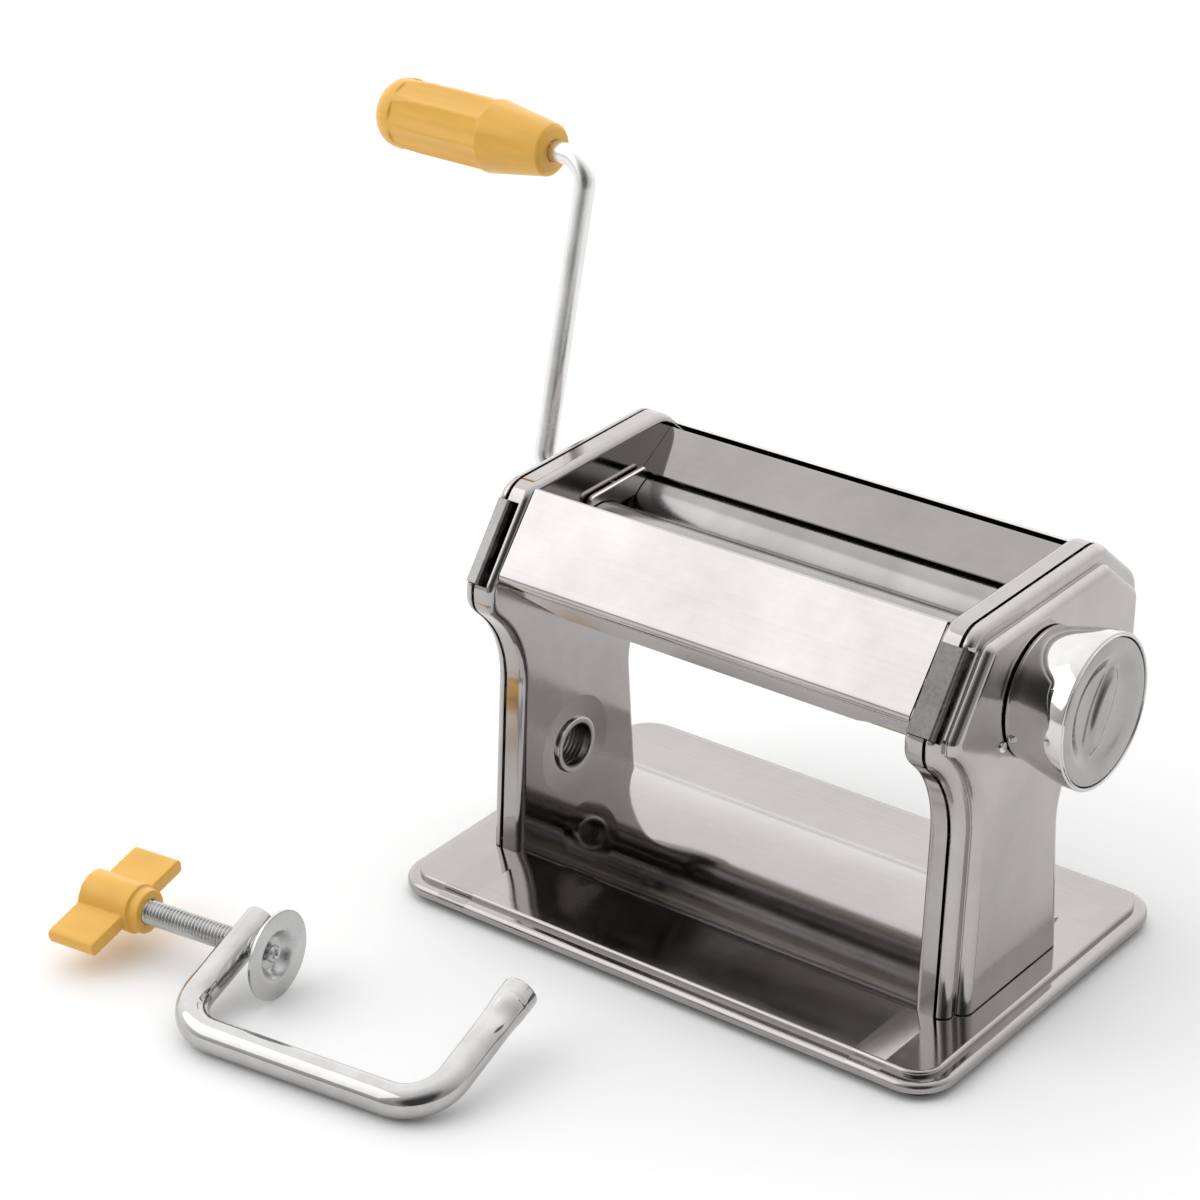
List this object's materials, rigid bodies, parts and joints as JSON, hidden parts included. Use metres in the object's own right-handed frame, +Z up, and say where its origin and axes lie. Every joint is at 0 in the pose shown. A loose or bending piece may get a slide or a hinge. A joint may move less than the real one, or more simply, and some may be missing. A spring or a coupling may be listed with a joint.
{
  "type": "hand-cranked pasta roller machine",
  "caption": "Hand-cranked sheet-metal pasta roller on a plate base, with paired rollers, gap-setting knob, pull-out crank with a moulded grip, and a loose screw clamp beside it.",
  "frame": {"origin": "on the table, under the middle of the base plate", "axes": "+X along the rollers towards the adjusting knob, +Y to the back, +Z up"},
  "size_m": [0.315, 0.2476, 0.2143],
  "materials": {
    "polished_stainless": "bright polished stainless sheet with faint rolling lines",
    "roller_steel": "ground and chromed roller surface, softly reflecting",
    "chrome": "mirror chrome",
    "brushed_rail": "brushed steel rail",
    "zinc_steel": "bright zinc-plated steel",
    "gear_steel": "hardened steel, dark and oiled",
    "spring_steel": "plain spring steel",
    "bearing_nylon": "white self-lubricating nylon",
    "scraper_nylon": "off-white nylon blade",
    "foot_rubber": "matt black rubber",
    "yellow_plastic": "mustard-yellow moulded plastic, satin with faint streaks"
  },
  "bodies": {
    "frame": {"base_plate": "polished_stainless", "base_feet": "foot_rubber", "foot_screws": "zinc_steel", "leg_brackets": "zinc_steel", "leg_screws": "zinc_steel", "left_inner_plate": "polished_stainless", "right_inner_plate": "polished_stainless", "left_outer_cover": "polished_stainless", "right_outer_cover": "polished_stainless", "cover_posts": "zinc_steel", "left_attachment_rail": "brushed_rail", "right_attachment_rail": "brushed_rail", "front_cover": "polished_stainless", "front_apron": "polished_stainless", "hopper_plate": "polished_stainless", "rear_cover": "polished_stainless", "left_dough_guide": "polished_stainless", "right_dough_guide": "polished_stainless", "front_scraper": "scraper_nylon", "rear_scraper": "scraper_nylon", "tie_rods": "zinc_steel", "tie_rod_nuts": "zinc_steel", "clamp_socket": "zinc_steel", "rear_bushes": "bearing_nylon", "bearing_guides": "bearing_nylon", "knob_bush": "bearing_nylon", "index_pin": "chrome"},
    "rear_roller": {"rear_roller": "roller_steel", "rear_gear": "gear_steel", "rear_retaining_ring": "spring_steel"},
    "crank": {"crank_rod": "chrome", "grip_retainer": "spring_steel"},
    "grip": {"handle_grip": "yellow_plastic"},
    "roller_carrier": {"left_bearing_block": "bearing_nylon", "right_bearing_block": "bearing_nylon", "carrier_yoke": "zinc_steel", "cam_follower": "gear_steel"},
    "front_roller": {"front_roller": "roller_steel", "front_gear": "gear_steel"},
    "adjuster": {"adjusting_cam": "zinc_steel", "knob_washer": "zinc_steel", "knob_screw": "zinc_steel", "knob_spring": "spring_steel"},
    "knob": {"knob_shell": "chrome", "knob_face": "chrome", "knob_hub": "bearing_nylon"},
    "clamp": {"clamp_bow": "chrome"},
    "pressure_plate": {"pressure_plate": "zinc_steel"},
    "clamp_screw": {"clamp_screw": "zinc_steel", "clamp_wing": "yellow_plastic"}
  },
  "joints": [
    {"name": "rear_roller_spin", "type": "hinge", "parent": "frame", "child": "rear_roller", "pos_m": [0, 0.0372, 0.1013], "axis": [1, 0, 0], "continuous": true},
    {"name": "crank_pull", "type": "slide", "parent": "rear_roller", "child": "crank", "axis": [-1, 0, 0], "range_m": [0, 0.026]},
    {"name": "grip_spin", "type": "hinge", "parent": "crank", "child": "grip", "pos_m": [-0.168, 0.066, 0.20175], "axis": [1, 0, 0], "continuous": true},
    {"name": "knob_turn", "type": "hinge", "parent": "frame", "child": "adjuster", "pos_m": [0.1, 0.0078, 0.1013], "axis": [1, 0, 0], "range_deg": [-20, 280]},
    {"name": "carrier_slide", "type": "slide", "parent": "frame", "child": "roller_carrier", "axis": [0, -1, 0], "range_m": [-0.0002, 0.0028]},
    {"name": "front_roller_spin", "type": "hinge", "parent": "roller_carrier", "child": "front_roller", "pos_m": [0, 0.0078, 0.1013], "axis": [1, 0, 0], "continuous": true},
    {"name": "knob_pull", "type": "slide", "parent": "adjuster", "child": "knob", "axis": [1, 0, 0], "range_m": [0, 0.004], "stiffness_N_per_m": 400, "springref_m": -0.004, "deforming": ["knob_spring"]},
    {"name": "clamp_lift", "type": "slide", "parent": "frame", "child": "clamp", "axis": [0, 0, 1], "range_m": [0, 0.15]},
    {"name": "clamp_feed", "type": "slide", "parent": "clamp", "child": "pressure_plate", "axis": [0.9943, 0.1063, 0], "range_m": [-0.00345, 0.0288]},
    {"name": "clamp_screw_turn", "type": "hinge", "parent": "pressure_plate", "child": "clamp_screw", "pos_m": [-0.10374, -0.13127, 0.01434], "axis": [0.9943, 0.1063, 0], "range_deg": [-1000, 8300]}
  ],
  "couplings": [
    {"joint": "front_roller_spin", "follows": "rear_roller_spin", "ratio": -1},
    {"joint": "knob_turn", "follows": "carrier_slide", "rad_per_m": 1745.3},
    {"joint": "clamp_screw_turn", "follows": "clamp_feed", "rad_per_m": 5026.5}
  ]
}
